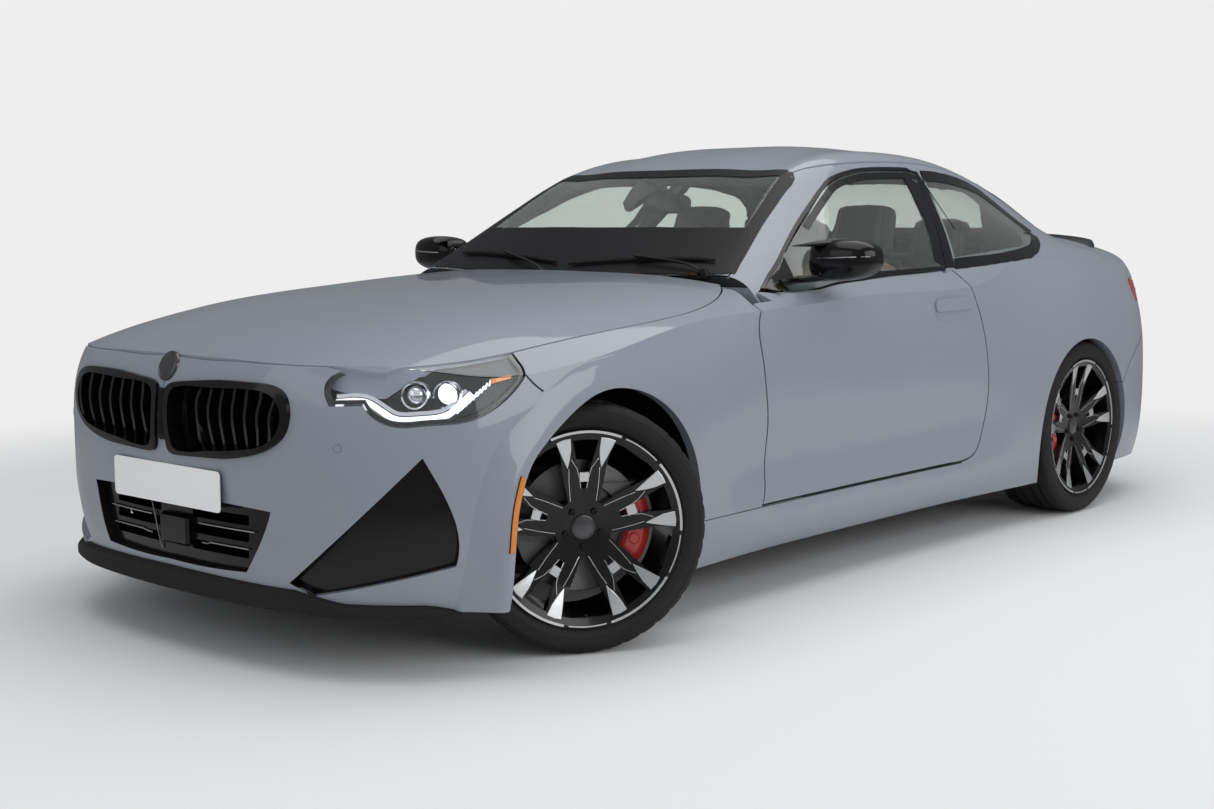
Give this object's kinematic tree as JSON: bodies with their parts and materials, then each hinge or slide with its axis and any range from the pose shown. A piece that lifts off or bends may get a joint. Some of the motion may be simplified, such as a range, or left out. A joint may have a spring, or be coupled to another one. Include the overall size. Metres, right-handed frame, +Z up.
{
  "type": "coupe car",
  "caption": "Two-door coupe car with hinged doors, hood and boot lid, steered front wheels, spoked alloy wheels and a furnished cabin",
  "frame": {"origin": "centre of the bounding box on the ground", "axes": "the car faces -X, its left side is -Y, +Z is up"},
  "size_m": [4.548, 2.0984, 1.4044],
  "materials": {
    "arms": "black chassis paint",
    "black_gloss": "gloss black",
    "black_matt": "grained black",
    "carrier": "cast carrier with painted caliper",
    "clear": "clear",
    "dash": "soft grained",
    "engine": "cast",
    "frame_paint": "dark primer",
    "lamp": "lamp housing",
    "leather": "brown leather",
    "lens": "clear cover",
    "paint": "solid blue-grey clear-coated paint",
    "red_lens": "dark red lens",
    "steel": "stainless",
    "tyre": "rubber",
    "wheel_metal": "black with machined faces"
  },
  "bodies": {
    "shell": {"body_side_left": "paint", "body_side_right": "paint", "boot_frame": "frame_paint", "dashboard": "dash", "engine_block": "engine", "exhaust": "steel", "fender_left": "paint", "fender_right": "paint", "firewall": "frame_paint", "floor_pan": "frame_paint", "front_bumper": "paint", "front_grilles": "black_gloss", "front_rails": "frame_paint", "front_seats": "leather", "headlamp_lenses": "lens", "headlamps": "lamp", "lower_trims": "black_matt", "rear_bench": "leather", "rear_bumper": "paint", "rear_carriers": "carrier", "rear_windows": "clear", "roof_panel": "paint", "sills": "paint", "suspension": "arms", "tail_lamps": "red_lens", "windscreen": "clear"},
    "left_door": {"door_left": "paint", "door_glass_left": "clear", "mirror_left": "black_gloss"},
    "right_door": {"door_right": "paint", "door_glass_right": "clear", "mirror_right": "black_gloss"},
    "front_lid": {"hood": "paint"},
    "rear_lid": {"boot_lid": "paint"},
    "left_knuckle": {"carrier_front_left": "carrier"},
    "right_knuckle": {"carrier_front_right": "carrier"},
    "front_left_wheel": {"wheel_front_left": "wheel_metal", "tyre_front_left": "tyre"},
    "front_right_wheel": {"wheel_front_right": "wheel_metal", "tyre_front_right": "tyre"},
    "rear_left_wheel": {"wheel_rear_left": "wheel_metal", "tyre_rear_left": "tyre"},
    "rear_right_wheel": {"wheel_rear_right": "wheel_metal", "tyre_rear_right": "tyre"},
    "hand_wheel": {"steering_wheel": "dash"}
  },
  "joints": [
    {"name": "left_door_hinge", "type": "hinge", "parent": "shell", "child": "left_door", "pos_m": [-0.684, -0.862, 0.6], "axis": [0, 0, 1], "range_deg": [-65, 0]},
    {"name": "right_door_hinge", "type": "hinge", "parent": "shell", "child": "right_door", "pos_m": [-0.684, 0.862, 0.6], "axis": [0, 0, 1], "range_deg": [0, 65]},
    {"name": "hood_hinge", "type": "hinge", "parent": "shell", "child": "front_lid", "pos_m": [-0.697, 0, 0.934], "axis": [0, 1, 0], "range_deg": [0, 50]},
    {"name": "boot_lid_hinge", "type": "hinge", "parent": "shell", "child": "rear_lid", "pos_m": [1.611, 0, 1.034], "axis": [0, 1, 0], "range_deg": [-65, 0]},
    {"name": "steer_left", "type": "hinge", "parent": "shell", "child": "left_knuckle", "pos_m": [-1.459, -0.787, 0.333], "axis": [0, 0, 1], "range_deg": [-2, 66]},
    {"name": "steer_right", "type": "hinge", "parent": "shell", "child": "right_knuckle", "pos_m": [-1.459, 0.787, 0.333], "axis": [0, 0, 1], "range_deg": [-2, 66]},
    {"name": "hand_wheel_turn", "type": "hinge", "parent": "shell", "child": "hand_wheel", "pos_m": [-0.234, -0.385, 0.84], "axis": [0.9135, 0, 0.4067], "range_deg": [-29, 957]},
    {"name": "spin_front_left", "type": "hinge", "parent": "left_knuckle", "child": "front_left_wheel", "pos_m": [-1.459, -0.787, 0.333], "axis": [0.5299, 0.848, 0], "continuous": true},
    {"name": "spin_front_right", "type": "hinge", "parent": "right_knuckle", "child": "front_right_wheel", "pos_m": [-1.459, 0.787, 0.333], "axis": [0.5299, 0.848, 0], "continuous": true},
    {"name": "spin_rear_left", "type": "hinge", "parent": "shell", "child": "rear_left_wheel", "pos_m": [1.282, -0.786, 0.333], "axis": [0, 1, 0], "continuous": true},
    {"name": "spin_rear_right", "type": "hinge", "parent": "shell", "child": "rear_right_wheel", "pos_m": [1.282, 0.786, 0.333], "axis": [0, 1, 0], "continuous": true}
  ],
  "couplings": [
    {"joint": "steer_right", "follows": "steer_left", "ratio": 1},
    {"joint": "hand_wheel_turn", "follows": "steer_left", "ratio": 14.5}
  ]
}
